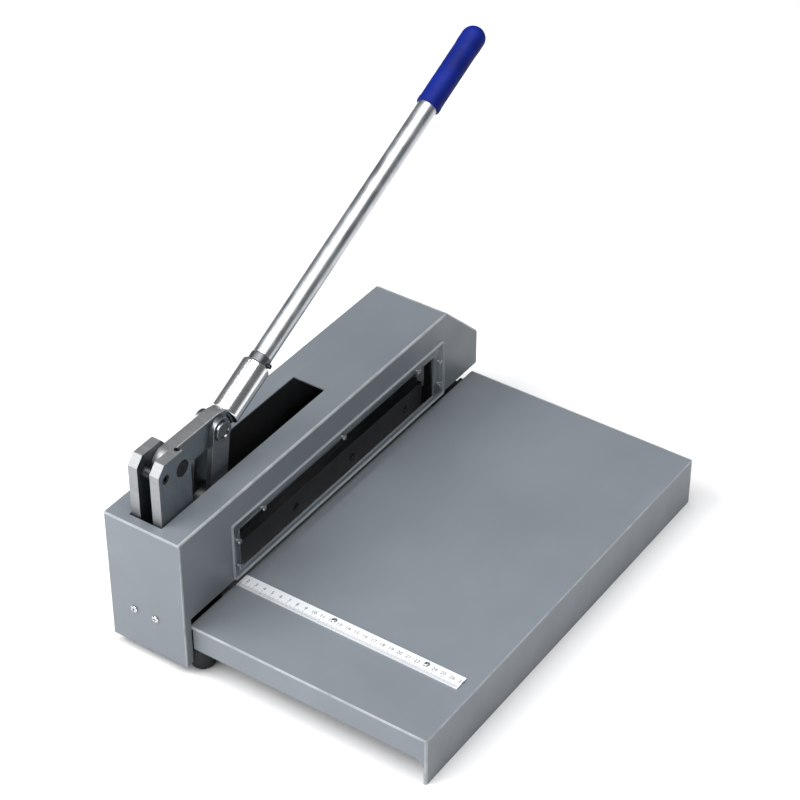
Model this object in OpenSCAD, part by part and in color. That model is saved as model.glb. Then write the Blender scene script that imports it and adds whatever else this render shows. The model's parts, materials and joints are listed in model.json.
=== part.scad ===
// Bench guillotine shear: a sheet-metal housing over an alligator blade, a
// lever handle on two upright cheeks, and a side table with a rule.
// Millimetres, +Z up. X runs across the machine towards the table, Y from the
// operator's end to the far end, Z = 0 is the surface that it stands on.

/* [Housing] */
// Length of the housing, from the operator's end to the far end
housing_length = 512; // [426:1:620]
// Width of the housing, across the machine
housing_width = 91; // [91:1:120]
// Height of the housing's top above the floor
housing_top = 166; // [150:1:200]
// Height of the housing's lower edge above the floor
housing_bottom = 11; // [6:1:14]
// Thickness of the housing's sheet
housing_sheet = 2; // [1.5:0.1:3]
// Length of the sloping part at the far end
slope_run = 58; // [40:1:70]
// Drop of the sloping part at the far end
slope_drop = 56; // [40:1:64]
// Height of the feeding gap between the table and the housing
throat_gap = 9.5; // [8:0.5:12]

/* [Table] */
// How far the table reaches from the housing's face
table_reach = 272.3; // [180:0.1:420]
// Thickness of the table's sheet
table_sheet = 3; // [2:0.1:4]
// Depth of the flange at the table's near and far ends
end_flange = 28; // [20:1:28]
// Gap between the rule's outer end and the table's outer edge
rule_margin = 14.7; // [2:0.1:60]
// Width of the rule
rule_width = 17.2; // [14:0.1:24]

/* [Lever] */
// Height of the fulcrum pin above the housing's top
fulcrum_rise = 48; // [40:1:64]
// Diameter of the fulcrum pin
fulcrum_d = 18; // [14:1:22]
// Height of the lever arm's section
arm_height = 31; // [28:1:32]
// Angle of the handle above the horizontal when the blade is down
handle_angle = 26; // [20:1:40]
// Length of the handle from the socket's lower end to the grip's tip
handle_length = 494.4; // [380:0.1:620]
// Outer diameter of the handle's pipe
tube_d = 21.4; // [17:0.1:26]
// Wall of the hand grip
grip_wall = 2.45; // [1.5:0.05:5]
// Length of the hand grip
grip_length = 105.4; // [80:0.1:140]
// Distance between the link's two pins
link_length = 86; // [71:1:90]

/* [Blades] */
// Height of the upper blade
blade_height = 33; // [28:1:40]
// Thickness of the upper blade
blade_thickness = 8; // [6.5:0.1:10]
// Depth by which the closed upper blade passes the table's level
blade_overlap = 3; // [2:0.5:4]
// Diameter of the blade carrier's pivot pin
pivot_d = 16; // [13:0.1:20]

/* [Hidden] */
$fn = 64;

// Fits: a pin that turns, a pin that is held, and a screw in its hole
running_gap = 0.05;
held_gap = 0.03;
screw_gap = 0.05;
// Side gap between the arm or the web and the plates beside it
side_gap = 0.2;

// Levels, from the floor up
foot_height = 26;
base_thickness = 8;
base_top = foot_height + base_thickness;
base_reach = 18;
table_top = 57;
table_under = table_top - table_sheet;
throat_top = table_top + throat_gap;
bed_shelf = 45;

// Table outline
table_near = 10.3;
table_far = housing_length - 3.2;
table_edge = -2;
flange_start = 1.5;
flange_bottom = table_top - end_flange;
rule_start = -1;
rule_length = table_reach - rule_margin - rule_start;
rule_near = 82.5;
rule_thickness = 1.2;
rule_screw_x = [109, table_reach - 55.8];
rule_screw_y = rule_near + 11.4;

// Lever linkage: the fulcrum, the link's upper pin and its lower pin
lever_x = -48.5;
fulcrum_z = housing_top + fulcrum_rise;
fulcrum_y = 48;
arm_length = 66.4;
link_tilt = 8.2;
link_pin_y = fulcrum_y + arm_length;
drop_pin_y = link_pin_y - link_length * sin(link_tilt);
drop_pin_z = fulcrum_z - link_length * cos(link_tilt);
link_pin_d = 14;
drop_pin_d = 12;
link_width = 26;
link_thickness = 6;
link_offset = 7.65;
link_outer = link_offset + link_thickness;
// The lug's hole is larger than its pin, so that the rigid web can swing
lug_play = 2.15;
lug_shift = 1.8;
lug_radius = 17;
// Retaining rings, and how far a pin stands out past them
ring_thickness = 1.2;
pin_tail = 2.6;

// Arm and web share one thickness, and run between plates a little wider apart
arm_thickness = 14.6;
plate_gap = arm_thickness + 2 * side_gap;
arm_left = lever_x - arm_thickness / 2;
arm_right = lever_x + arm_thickness / 2;

// Cheeks
cheek_thickness = 11;
cheek_near = 13;
cheek_far = 60;
cheek_top = fulcrum_z + 20.5;
cheek_foot_top = 84;
cheek_inner = plate_gap / 2;
cheek_outer = cheek_inner + cheek_thickness;
cheek_centre = cheek_inner + cheek_thickness / 2;
tie_y = 23.4;
tie_z = fulcrum_z + 2.8;
tie_d = 6;

// Handle, measured along its axis from the socket's lower end
head_y = link_pin_y + 20.8;
head_z = fulcrum_z + 0.8;
spigot_d = tube_d - 3.4;
socket_wall = 6.25;
socket_d = spigot_d + 2 * socket_wall;
socket_length = 60;
socket_shoulder = 3.5;
tenon_length = 24;
tenon_height = 20;
neck_upper = 14;
neck_lower = 9.5;
spigot_start = 30;
collar_d = tube_d + 1;
collar_end = socket_length + 9;
tube_bore = spigot_d - 3;
grip_d = tube_d + 2 * grip_wall;
grip_start = handle_length - grip_length;
tube_end = handle_length - 12;
set_screw_d = 4.6;
set_screw_at = socket_length + 2.8;

// Blade carrier: beam, web, blade and pivot
carrier_far = housing_length - 82.5;
pivot_y = housing_length - 24;
pivot_z = 75;
blade_near = 64;
blade_far = carrier_far - 3.5;
shear_x = -14;
blade_face = shear_x - running_gap;
blade_back = blade_face - blade_thickness;
blade_bottom = table_top - blade_overlap;
beam_near = 62;
beam_bottom = 58;
beam_top = blade_bottom + blade_height;
boss_radius = 16;
end_block_near = carrier_far + 0.5;
end_block_length = 16;

// Pivot brackets
bracket_thickness = 10.8;
bracket_radius = 20;
bracket_near = pivot_y - 26;

// Slot for the lever, window for the blade and its clear guard
slot_width = 39;
slot_near = 10.6;
slot_length = 262.8;
guard_near = 78;
guard_far = housing_length - 67;
guard_bottom = throat_top + 1;
guard_top = housing_top - 30;
guard_thickness = 3;
window_near = guard_near + 13;
window_far = guard_far - 17;
window_bottom = guard_bottom + 4.5;
window_top = guard_top - 12.5;

// Screws: thread, head diameter, head height
M3 = [3, 5.6, 1.8];
M5 = [5, 7.8, 2.2];
M6 = [6, 10, 6];
M6_CSK = [6, 12, 3.3];

end_screw_z = 57;
end_screw_x = [lever_x - cheek_centre, lever_x + cheek_centre];
rear_screw_y = [60, housing_length / 2, housing_length - 60];
rear_screw_z = foot_height + base_thickness / 2;
guard_screw_row = guard_top - 8.7;
guard_screw_at = [
    [guard_near + 7.7, guard_bottom + 13.5],
    [guard_near + 7.7, guard_top - 22.5],
    [guard_near + 48, guard_screw_row],
    [(guard_near + guard_far) / 2 - 1, guard_screw_row],
    [guard_far - 50.5, guard_screw_row],
    [guard_far - 9.7, guard_top - 21],
    [guard_far - 9.7, guard_bottom + 18.5]
];
foot_radius = 14;
foot_x = [-housing_width + housing_sheet + foot_radius + 1, 0];
foot_y = [table_near + foot_radius + 0.6, housing_length - foot_radius - 14];
blade_bolt_z = 69.5;
blade_bolt_y = [for (i = [0:3]) blade_near + 37.8 + i * (blade_far - blade_near - 68) / 3];
beam_screw_z = 76;
beam_screw_y = [for (i = [0:2]) 150 + i * (carrier_far - 229.5) / 2];
bed_screw_y = [for (i = [0:3]) 95 + i * (carrier_far - 99.5) / 3];
bed_screw_x = -8;
base_screw_x = 3;
base_screw_y = [52, 150, housing_length / 2 + 14, housing_length - 132, housing_length - 36];
cheek_screw_y = [9.5, 46];
bracket_screw_y = [bracket_near + 5.5, housing_length - 9];
ledge_thickness = 6;
ledge_bottom = 37;
bed_bar_face = 8;
table_screw_z = 42;
table_screw_y = [90, 200, housing_length - 186, housing_length - 90];
rib_count = 2;
rib_height = 18;
rib_thickness = 3;
rib_pitch = (table_reach - table_sheet - base_reach) / (rib_count + 1);

// The part's own origin: middle of its outline, on the floor
part_left = -housing_width - M5[2];
part_far = head_y + (handle_length - grip_d / 2) * cos(handle_angle) + grip_d / 2;
origin_x = (part_left + table_reach) / 2;
origin_y = (part_far - M5[2]) / 2;

PAINT = "#8b9095";
BLACK = "#1d2023";
DARK_STEEL = "#3b4046";
STEEL = "#b4b8bb";
CHROME = "#d5d8da";
ZINC = "#a9adaf";
BLUE = "#1b2f97";
CLEAR = "#cfdde2";
WHITE = "#e8ebec";

// ---- placing helpers ----

// Moves machine coordinates to the part's own origin
module placed() {
    translate([-origin_x, -origin_y, 0]) children();
}

// Box between two corners
module block(low, high) {
    translate(low) cube(high - low);
}

// Extrudes a (y, z) outline from x0 to x1
module along_x(x0, x1) {
    translate([x0, 0, 0]) rotate([90, 0, 90]) linear_extrude(x1 - x0) children();
}

// Extrudes an (x, z) outline from y0 to y1
module along_y(y0, y1) {
    translate([0, y1, 0]) rotate([90, 0, 0]) linear_extrude(y1 - y0) children();
}

// Round rods along each axis
module rod_x(d, x0, x1, y, z) {
    translate([x0, y, z]) rotate([0, 90, 0]) cylinder(d = d, h = x1 - x0);
}

module rod_y(d, y0, y1, x, z) {
    translate([x, y1, z]) rotate([90, 0, 0]) cylinder(d = d, h = y1 - y0);
}

module rod_z(d, z0, z1, x, y) {
    translate([x, y, z0]) cylinder(d = d, h = z1 - z0);
}

// Handle axis: local +Z runs up the handle from the socket's lower end
module on_handle() {
    translate([lever_x, head_y, head_z]) rotate([handle_angle - 90, 0, 0]) children();
}

// Point in the (y, z) plane at (along, across) from the socket's lower end
function handle_point(along, across) = [
    head_y + along * cos(handle_angle) - across * sin(handle_angle),
    head_z + along * sin(handle_angle) + across * cos(handle_angle)
];

// ---- fasteners, drawn with the head's seat at z = 0 and the thread downwards ----

// Pan head with a cross recess
module pan_screw(size, length) {
    recess = size[1] * 0.55;
    difference() {
        union() {
            cylinder(d = size[0], h = size[2] * 0.5 + length);
            translate([0, 0, length]) cylinder(d = size[1], h = size[2] * 0.6);
            translate([0, 0, length + size[2] * 0.6])
                cylinder(d1 = size[1], d2 = size[1] * 0.7, h = size[2] * 0.4);
        }
        for (turn = [0, 90]) {
            translate([0, 0, length + size[2] * 0.75]) rotate([0, 0, turn])
                cube([recess, size[0] * 0.22, size[2]], center = true);
        }
    }
}

// Cylindrical head with a hexagon recess
module cap_screw(size, length, head_height) {
    difference() {
        union() {
            cylinder(d = size[0], h = length + 0.5);
            translate([0, 0, length]) cylinder(d = size[1], h = head_height);
        }
        translate([0, 0, length + head_height * 0.45])
            cylinder(d = size[0] * 0.95, h = head_height, $fn = 6);
    }
}

// Countersunk head with a hexagon recess, flush at z = 0
module flush_screw(size, length) {
    difference() {
        union() {
            cylinder(d = size[0], h = length);
            translate([0, 0, length - size[2]])
                cylinder(d1 = size[0], d2 = size[1] - 0.2, h = size[2]);
        }
        translate([0, 0, length - size[2] * 0.6])
            cylinder(d = size[0] * 0.66, h = size[2], $fn = 6);
    }
}

// Countersunk hole that a flush screw drops into, opening at z = length
module flush_hole(size, length) {
    cylinder(d = size[0] + 2 * screw_gap, h = length + 1);
    translate([0, 0, length - size[2]])
        cylinder(d1 = size[0] + 2 * screw_gap, d2 = size[1], h = size[2] + 0.01);
    translate([0, 0, length]) cylinder(d = size[1], h = 1);
}

// Retaining ring for a shaft along X, starting at x0
module ring_x(shaft_d, x0, y, z, thickness) {
    difference() {
        rod_x(shaft_d + 5, x0, x0 + thickness, y, z);
        rod_x(shaft_d - 0.94, x0 - 1, x0 + thickness + 1, y, z);
    }
}

// Groove that a retaining ring sits in
module ring_groove_x(shaft_d, x0, y, z, thickness) {
    difference() {
        rod_x(shaft_d + 2, x0, x0 + thickness, y, z);
        rod_x(shaft_d - 1, x0 - 1, x0 + thickness + 1, y, z);
    }
}

// ---- housing ----

// Side outline of the housing, drawn smaller by inset on its top, slope and near end
module housing_outline(inset) {
    slope = atan2(slope_drop, slope_run);
    level = housing_top - inset;
    bend_y = housing_length - slope_run - inset * tan(slope / 2);
    end_y = housing_length + inset;
    end_z = level - (end_y - bend_y) * tan(slope);
    low = housing_bottom - inset;
    polygon([[inset, low], [inset, level], [bend_y, level], [end_y, end_z], [end_y, low]]);
}

module housing_shell() {
    sheet = housing_sheet;
    color(PAINT) placed() difference() {
        along_x(-housing_width, 0) housing_outline(0);
        along_x(-housing_width + sheet, -sheet) housing_outline(sheet);
        block([-sheet - 1, table_near, 0], [1, housing_length + 1, throat_top]);
        block([-sheet - 1, window_near, window_bottom], [1, window_far, window_top]);
        block([lever_x - slot_width / 2, slot_near, housing_top - sheet - 1],
              [lever_x + slot_width / 2, slot_near + slot_length, housing_top + 1]);
        for (x = end_screw_x) {
            rod_y(M5[0] + 2 * screw_gap, -1, sheet + 1, x, end_screw_z);
        }
        for (y = rear_screw_y) {
            rod_x(M5[0] + 2 * screw_gap, -housing_width - 1, -housing_width + sheet + 1,
                  y, rear_screw_z);
        }
        for (at = guard_screw_at) {
            rod_x(M3[0] + 2 * screw_gap, -sheet - 1, 1, at[0], at[1]);
        }
    }
}

module end_screws() {
    length = 16;
    color(STEEL) placed() for (x = end_screw_x) {
        translate([x, length, end_screw_z]) rotate([90, 0, 0]) pan_screw(M5, length);
    }
}

module rear_screws() {
    length = 12;
    color(STEEL) placed() for (y = rear_screw_y) {
        translate([length - housing_width, y, rear_screw_z]) rotate([0, -90, 0])
            pan_screw(M5, length);
    }
}

module window_guard() {
    corner = 1.5;
    color(CLEAR, 0.4) placed() difference() {
        along_x(0, guard_thickness) polygon([
            [guard_near + corner, guard_bottom], [guard_far - corner, guard_bottom],
            [guard_far, guard_bottom + corner], [guard_far, guard_top - corner],
            [guard_far - corner, guard_top], [guard_near + corner, guard_top],
            [guard_near, guard_top - corner], [guard_near, guard_bottom + corner]
        ]);
        for (at = guard_screw_at) {
            rod_x(M3[0] + 2 * screw_gap, -1, guard_thickness + 1, at[0], at[1]);
        }
    }
}

module guard_screws() {
    length = guard_thickness + housing_sheet + 3;
    color(STEEL) placed() for (at = guard_screw_at) {
        translate([guard_thickness - length, at[0], at[1]]) rotate([0, 90, 0])
            pan_screw(M3, length);
    }
}

// ---- base ----

module base_plate() {
    color(BLACK) placed() difference() {
        union() {
            block([-housing_width + housing_sheet, housing_sheet, foot_height],
                  [-housing_sheet, housing_length - 4, base_top]);
            block([-housing_sheet - 1, table_near + 5, foot_height],
                  [base_reach, table_far - 5, base_top]);
        }
        for (x = foot_x, y = foot_y) {
            rod_z(M5[0] + 2 * screw_gap, foot_height - 1, base_top + 1, x, y);
        }
        for (y = rear_screw_y) {
            rod_x(M5[0] + 2 * screw_gap, -housing_width, -housing_width + 13, y, rear_screw_z);
        }
        base_screw_places() flush_hole(M6_CSK, 16);
        lower_blade_screw_places() flush_hole(M6_CSK, 26);
    }
}

// Every place where a screw comes up through the base, head downwards
module base_screw_places() {
    for (y = base_screw_y) {
        translate([base_screw_x, y, foot_height + 16]) rotate([180, 0, 0]) children();
    }
    for (x = end_screw_x, y = cheek_screw_y) {
        translate([x, y, foot_height + 16]) rotate([180, 0, 0]) children();
    }
    for (side = [-1, 1], y = bracket_screw_y) {
        translate([lever_x + side * (cheek_inner + bracket_thickness / 2), y, foot_height + 16])
            rotate([180, 0, 0]) children();
    }
}

module base_screws() {
    color(DARK_STEEL) placed() base_screw_places() flush_screw(M6_CSK, 16);
}

module rubber_feet() {
    wide = foot_radius;
    narrow = foot_radius - 1.5;
    edge = 3;
    color(BLACK) placed() for (x = foot_x, y = foot_y) {
        translate([x, y, 0]) rotate_extrude() difference() {
            union() {
                polygon([[0, 0], [narrow - edge, 0], [narrow, edge], [wide, foot_height], [0, foot_height]]);
                translate([narrow - edge, edge]) circle(r = edge);
            }
            translate([-20, -20]) square([20, 60]);
            square([6, 14]);
            square([M5[0] / 2 + screw_gap, foot_height + 1]);
        }
    }
}

module foot_screws() {
    length = 19;
    color(STEEL) placed() for (x = foot_x, y = foot_y) {
        translate([x, y, 14 + length]) rotate([180, 0, 0]) pan_screw(M5, length);
    }
}

// ---- lever stand ----

// One upright plate between x0 and x1, bored for the fulcrum and its screws
module cheek(x0, x1, top_screw) {
    middle = (x0 + x1) / 2;
    difference() {
        along_x(x0, x1) polygon([
            [housing_sheet, base_top], [cheek_far, base_top], [cheek_far, cheek_top - 12.5],
            [cheek_far - 10, cheek_top], [cheek_near + 9, cheek_top],
            [cheek_near, cheek_top - 10.1], [cheek_near, cheek_foot_top + 11],
            [housing_sheet, cheek_foot_top]
        ]);
        rod_x(fulcrum_d + 2 * held_gap, x0 - 1, x1 + 1, fulcrum_y, fulcrum_z);
        rod_x(tie_d + 2 * screw_gap, x0 - 1, x1 + 1, tie_y, tie_z);
        rod_y(M5[0] + 2 * screw_gap, -1, 17, middle, end_screw_z);
        for (y = cheek_screw_y) {
            rod_z(M6[0] + 2 * screw_gap, base_top - 1, base_top + 9, middle, y);
        }
        if (top_screw) {
            rod_z(M6[0] + 2 * screw_gap, fulcrum_z, cheek_top + 1, middle, fulcrum_y);
            rod_x(M6[1] + 0.3, x1 - 6, x1 + 1, tie_y, tie_z);
        }
    }
}

module cheek_left() {
    color(DARK_STEEL) placed() cheek(lever_x - cheek_outer, lever_x - cheek_inner, false);
}

module cheek_right() {
    color(DARK_STEEL) placed() cheek(lever_x + cheek_inner, lever_x + cheek_outer, true);
}

module cheek_spacer() {
    color(BLACK) placed() difference() {
        rod_x(12, lever_x - cheek_inner, lever_x + cheek_inner, tie_y, tie_z);
        rod_x(tie_d + 2 * screw_gap, lever_x - 20, lever_x + 20, tie_y, tie_z);
    }
}

module cheek_tie_bolt() {
    head = 5.6;
    length = 2 * cheek_outer - 6;
    color(DARK_STEEL) placed() translate([lever_x - cheek_outer, tie_y, tie_z])
        rotate([0, 90, 0]) cap_screw([tie_d, M6[1], head], length, head);
}

module fulcrum_pin() {
    dimple = 6;
    color(DARK_STEEL) placed() difference() {
        rod_x(fulcrum_d, lever_x - cheek_outer, lever_x + cheek_outer, fulcrum_y, fulcrum_z);
        rod_x(dimple, lever_x + cheek_outer - 1, lever_x + cheek_outer + 1, fulcrum_y, fulcrum_z);
    }
}

module pin_lock_screw() {
    low = fulcrum_z + fulcrum_d / 2;
    color(BLACK) placed() translate([lever_x + cheek_centre, fulcrum_y, low]) difference() {
        cylinder(d = M6[0], h = cheek_top - low - 1);
        translate([0, 0, cheek_top - low - 4]) cylinder(d = 3.4, h = 4, $fn = 6);
    }
}

module closing_buffer() {
    top = 65.8;
    color(BLACK) placed() {
        rod_z(14, base_top, top - 8, lever_x, 36);
        rod_z(10, top - 8, top, lever_x, 36);
    }
}

// ---- lever and handle ----

module lever_arm() {
    half = arm_height / 2;
    color(DARK_STEEL) placed() difference() {
        union() {
            rod_x(arm_height, arm_left, arm_right, fulcrum_y, fulcrum_z);
            rod_x(arm_height, arm_left, arm_right, link_pin_y, fulcrum_z);
            block([arm_left, fulcrum_y, fulcrum_z - half],
                  [arm_right, link_pin_y, fulcrum_z + half]);
            along_x(arm_left, arm_right) polygon([
                [link_pin_y - 4, fulcrum_z + half], [link_pin_y + 4, fulcrum_z + half],
                handle_point(0, neck_upper), handle_point(0, -neck_lower),
                [link_pin_y - 4, fulcrum_z - half + 5]
            ]);
            on_handle() translate([-arm_thickness / 2, -tenon_height / 2, -10])
                cube([arm_thickness, tenon_height, tenon_length + 10]);
        }
        rod_x(fulcrum_d + 2 * running_gap, arm_left - 1, arm_right + 1, fulcrum_y, fulcrum_z);
        rod_x(link_pin_d + 2 * running_gap, arm_left - 1, arm_right + 1, link_pin_y, fulcrum_z);
    }
}

module handle_socket() {
    rim = 1.2;
    radius = socket_d / 2;
    slack = 0.05;
    color(CHROME) placed() on_handle() difference() {
        rotate_extrude() polygon([
            [0, 0], [radius - rim, 0], [radius, rim], [radius, socket_length - socket_shoulder],
            [radius - socket_shoulder / 2, socket_length - socket_shoulder / 3],
            [radius - socket_shoulder, socket_length], [0, socket_length]
        ]);
        translate([-arm_thickness / 2 - slack, -tenon_height / 2 - slack, -1])
            cube([arm_thickness + 2 * slack, tenon_height + 2 * slack, tenon_length + 1 + slack]);
        translate([0, 0, spigot_start])
            cylinder(d = spigot_d + 2 * held_gap, h = socket_length);
    }
}

module lock_collar() {
    color(BLACK) placed() on_handle() difference() {
        translate([0, 0, socket_length]) cylinder(d = collar_d, h = collar_end - socket_length);
        translate([0, 0, socket_length - 1]) cylinder(d = spigot_d + 2 * held_gap, h = 20);
        translate([0, 0, set_screw_at]) rotate([0, 90, 0])
            cylinder(d = set_screw_d + 2 * screw_gap, h = collar_d);
    }
}

module set_screw() {
    length = 6;
    color(BLACK) placed() on_handle() translate([spigot_d / 2, 0, set_screw_at])
        rotate([0, 90, 0]) difference() {
            cylinder(d = set_screw_d, h = length);
            translate([0, 0, length - 2.5]) cylinder(d = set_screw_d * 0.55, h = 3, $fn = 6);
        }
}

module handle_tube() {
    color(ZINC) placed() on_handle() difference() {
        union() {
            translate([0, 0, spigot_start]) cylinder(d = spigot_d, h = collar_end - spigot_start);
            translate([0, 0, collar_end]) cylinder(d = tube_d, h = tube_end - collar_end);
        }
        translate([0, 0, spigot_start - 1]) cylinder(d = tube_bore, h = tube_end);
    }
}

module hand_grip() {
    radius = grip_d / 2;
    bore = tube_d / 2 + held_gap;
    lip = 1.5;
    color(BLUE) placed() on_handle() rotate_extrude() difference() {
        union() {
            polygon([
                [0, grip_start], [radius - lip, grip_start], [radius, grip_start + lip],
                [radius, handle_length - radius], [0, handle_length - radius]
            ]);
            intersection() {
                translate([0, handle_length - radius]) circle(r = radius);
                translate([0, handle_length - radius]) square([radius, radius]);
            }
        }
        translate([0, grip_start - 1]) square([bore, tube_end - grip_start + 1]);
    }
}

// ---- links ----

// One flat bar between the link pin and the drop pin
module link(x0, x1) {
    difference() {
        along_x(x0, x1) translate([link_pin_y, fulcrum_z]) rotate(-link_tilt) union() {
            circle(d = link_width);
            translate([0, -link_length]) circle(d = link_width);
            translate([-link_width / 2, -link_length]) square([link_width, link_length]);
        }
        rod_x(link_pin_d + 2 * held_gap, x0 - 1, x1 + 1, link_pin_y, fulcrum_z);
        rod_x(drop_pin_d + 2 * held_gap, x0 - 1, x1 + 1, drop_pin_y, drop_pin_z);
    }
}

module link_left() {
    color(STEEL) placed() link(lever_x - link_outer, lever_x - link_offset);
}

module link_right() {
    color(STEEL) placed() link(lever_x + link_offset, lever_x + link_outer);
}

module link_pin() {
    head_d = 22;
    head = 3.5;
    right = lever_x + link_outer;
    left = lever_x - link_outer;
    color(CHROME) placed() difference() {
        union() {
            rod_x(link_pin_d, left - pin_tail, right + 0.5, link_pin_y, fulcrum_z);
            rod_x(head_d, right, right + head, link_pin_y, fulcrum_z);
        }
        rod_x(head_d - 8, right + head - 1.4, right + head + 1, link_pin_y, fulcrum_z);
        ring_groove_x(link_pin_d, left - ring_thickness, link_pin_y, fulcrum_z, ring_thickness);
    }
}

module drop_pin() {
    right = lever_x + link_outer;
    left = lever_x - link_outer;
    color(STEEL) placed() difference() {
        rod_x(drop_pin_d, left - pin_tail, right + pin_tail, drop_pin_y, drop_pin_z);
        ring_groove_x(drop_pin_d, left - ring_thickness, drop_pin_y, drop_pin_z, ring_thickness);
        ring_groove_x(drop_pin_d, right, drop_pin_y, drop_pin_z, ring_thickness);
    }
}

module link_circlips() {
    right = lever_x + link_outer;
    left = lever_x - link_outer;
    color(BLACK) placed() {
        ring_x(link_pin_d, left - ring_thickness, link_pin_y, fulcrum_z, ring_thickness);
        ring_x(drop_pin_d, left - ring_thickness, drop_pin_y, drop_pin_z, ring_thickness);
        ring_x(drop_pin_d, right, drop_pin_y, drop_pin_z, ring_thickness);
    }
}

// ---- blade carrier ----

module blade_beam() {
    color(BLACK) placed() difference() {
        block([arm_right, beam_near, beam_bottom], [blade_back, carrier_far, beam_top]);
        for (y = blade_bolt_y) {
            rod_x(M6[0] + 2 * screw_gap, blade_back - 13, blade_back + 1, y, blade_bolt_z);
        }
        for (y = beam_screw_y) {
            rod_x(M6[0] + 2 * screw_gap, arm_right - 1, arm_right + 13, y, beam_screw_z);
        }
    }
}

module beam_web() {
    lug_y = drop_pin_y + lug_shift;
    color(DARK_STEEL) placed() difference() {
        union() {
            along_x(arm_left, arm_right) polygon([
                [20, 66], [20, 86], [66, 90], [lug_y - lug_radius + 1, drop_pin_z - 5],
                [lug_y + lug_radius - 1, drop_pin_z - 5], [200, 100], [carrier_far, 92],
                [pivot_y, pivot_z + boss_radius - 0.5], [pivot_y, pivot_z - boss_radius + 0.5],
                [carrier_far, beam_bottom], [beam_near, beam_bottom], [beam_near, 66]
            ]);
            rod_x(2 * lug_radius, arm_left, arm_right, lug_y, drop_pin_z);
            rod_x(2 * boss_radius, arm_left, arm_right, pivot_y, pivot_z);
        }
        rod_x(drop_pin_d + 2 * lug_play, arm_left - 1, arm_right + 1, lug_y, drop_pin_z);
        rod_x(pivot_d + 2 * running_gap, arm_left - 1, arm_right + 1, pivot_y, pivot_z);
        for (y = concat(beam_screw_y, [end_block_near + end_block_length / 2])) {
            rod_x(M6[0] + 2 * screw_gap, arm_left - 1, arm_right + 1, y, beam_screw_z);
        }
    }
}

module beam_screws() {
    length = arm_thickness + 12;
    head = 5;
    color(DARK_STEEL) placed()
        for (y = concat(beam_screw_y, [end_block_near + end_block_length / 2])) {
            translate([arm_left + length, y, beam_screw_z]) rotate([0, -90, 0])
                cap_screw(M6, length, head);
        }
}

module end_block() {
    middle = end_block_near + end_block_length / 2;
    color(STEEL) placed() difference() {
        block([arm_right, end_block_near, 66],
              [blade_back - 2, end_block_near + end_block_length, 98]);
        rod_x(M6[0] + 2 * screw_gap, arm_right - 1, arm_right + 13, middle, beam_screw_z);
    }
}

module upper_blade() {
    relief = 2;
    color(DARK_STEEL) placed() difference() {
        along_y(blade_near, blade_far) polygon([
            [blade_back, beam_top], [blade_face, beam_top], [blade_face, blade_bottom],
            [blade_back, blade_bottom + relief]
        ]);
        for (y = blade_bolt_y) {
            rod_x(M6[0] + 2 * screw_gap, blade_back - 1, blade_face + 1, y, blade_bolt_z);
            rod_x(M6[1] + 0.4, blade_face - 4.6, blade_face + 1, y, blade_bolt_z);
        }
    }
}

module upper_blade_bolts() {
    head = 4.2;
    length = 15;
    color(BLACK) placed() for (y = blade_bolt_y) {
        translate([blade_face - 4.6 - length, y, blade_bolt_z]) rotate([0, 90, 0])
            cap_screw(M6, length, head);
    }
}

// ---- bed ----

module bed_bar() {
    near = table_near + 6;
    far = table_far - 6;
    color(BLACK) placed() difference() {
        along_y(near, far) polygon([
            [shear_x + 0.1, base_top], [bed_bar_face, base_top], [bed_bar_face, table_under],
            [table_edge, table_under], [table_edge, bed_shelf], [shear_x + 0.1, bed_shelf]
        ]);
        base_screw_places() flush_hole(M6_CSK, 16);
        lower_blade_screw_places() cylinder(d = M6[0] + 2 * screw_gap, h = 30);
        for (y = table_screw_y) {
            rod_x(M5[0] + 2 * screw_gap, -6, bed_bar_face + 1, y, table_screw_z);
        }
    }
}

// Screws that hold the lower blade down through the base and the bed bar
module lower_blade_screw_places() {
    for (y = bed_screw_y) {
        translate([bed_screw_x, y, foot_height + 26]) rotate([180, 0, 0]) children();
    }
}

module lower_blade() {
    color(STEEL) placed() difference() {
        block([shear_x, beam_near, bed_shelf], [table_edge, carrier_far, table_top]);
        for (y = bed_screw_y) {
            rod_z(M6[0] + 2 * screw_gap, bed_shelf - 1, foot_height + 26.5, bed_screw_x, y);
        }
    }
}

module lower_blade_screws() {
    color(DARK_STEEL) placed() lower_blade_screw_places() flush_screw(M6_CSK, 26);
}

// ---- table ----

module table_tray() {
    sheet = table_sheet;
    sweep = 8;
    fold_x = table_reach - sheet;
    color(PAINT) placed() difference() {
        union() {
            block([table_edge, table_near, table_under], [table_reach, table_far, table_top]);
            for (y = [table_near, table_far - sheet]) {
                along_y(y, y + sheet) polygon([
                    [flange_start, table_top], [flange_start, flange_bottom],
                    [fold_x - sweep, flange_bottom], [fold_x, flange_bottom - sweep],
                    [table_reach, flange_bottom - sweep], [table_reach, table_top]
                ]);
            }
            block([fold_x, table_near, 0], [table_reach, table_far, table_top]);
        }
        for (x = rule_screw_x) {
            rod_z(M3[0] + 2 * screw_gap, table_under - 1, table_top + 1,
                  x, rule_screw_y);
        }
    }
}

module table_ledge() {
    color(BLACK) placed() difference() {
        block([bed_bar_face, table_near + 10, ledge_bottom],
              [bed_bar_face + ledge_thickness, table_far - 10, table_under]);
        for (y = table_screw_y) {
            rod_x(M5[0] + 2 * screw_gap, bed_bar_face - 1, bed_bar_face + ledge_thickness + 1,
                  y, table_screw_z);
        }
    }
}

module table_ribs() {
    color(PAINT) placed() for (i = [1:rib_count]) {
        x = base_reach + i * rib_pitch;
        block([x, table_near + table_sheet, table_under - rib_height],
              [x + rib_thickness, table_far - table_sheet, table_under]);
    }
}

module table_screws() {
    length = ledge_thickness + 12;
    head = 4.5;
    color(DARK_STEEL) placed() for (y = table_screw_y) {
        translate([bed_bar_face + ledge_thickness - length, y, table_screw_z])
            rotate([0, 90, 0]) cap_screw([M5[0], 8.5, head], length, head);
    }
}

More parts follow.
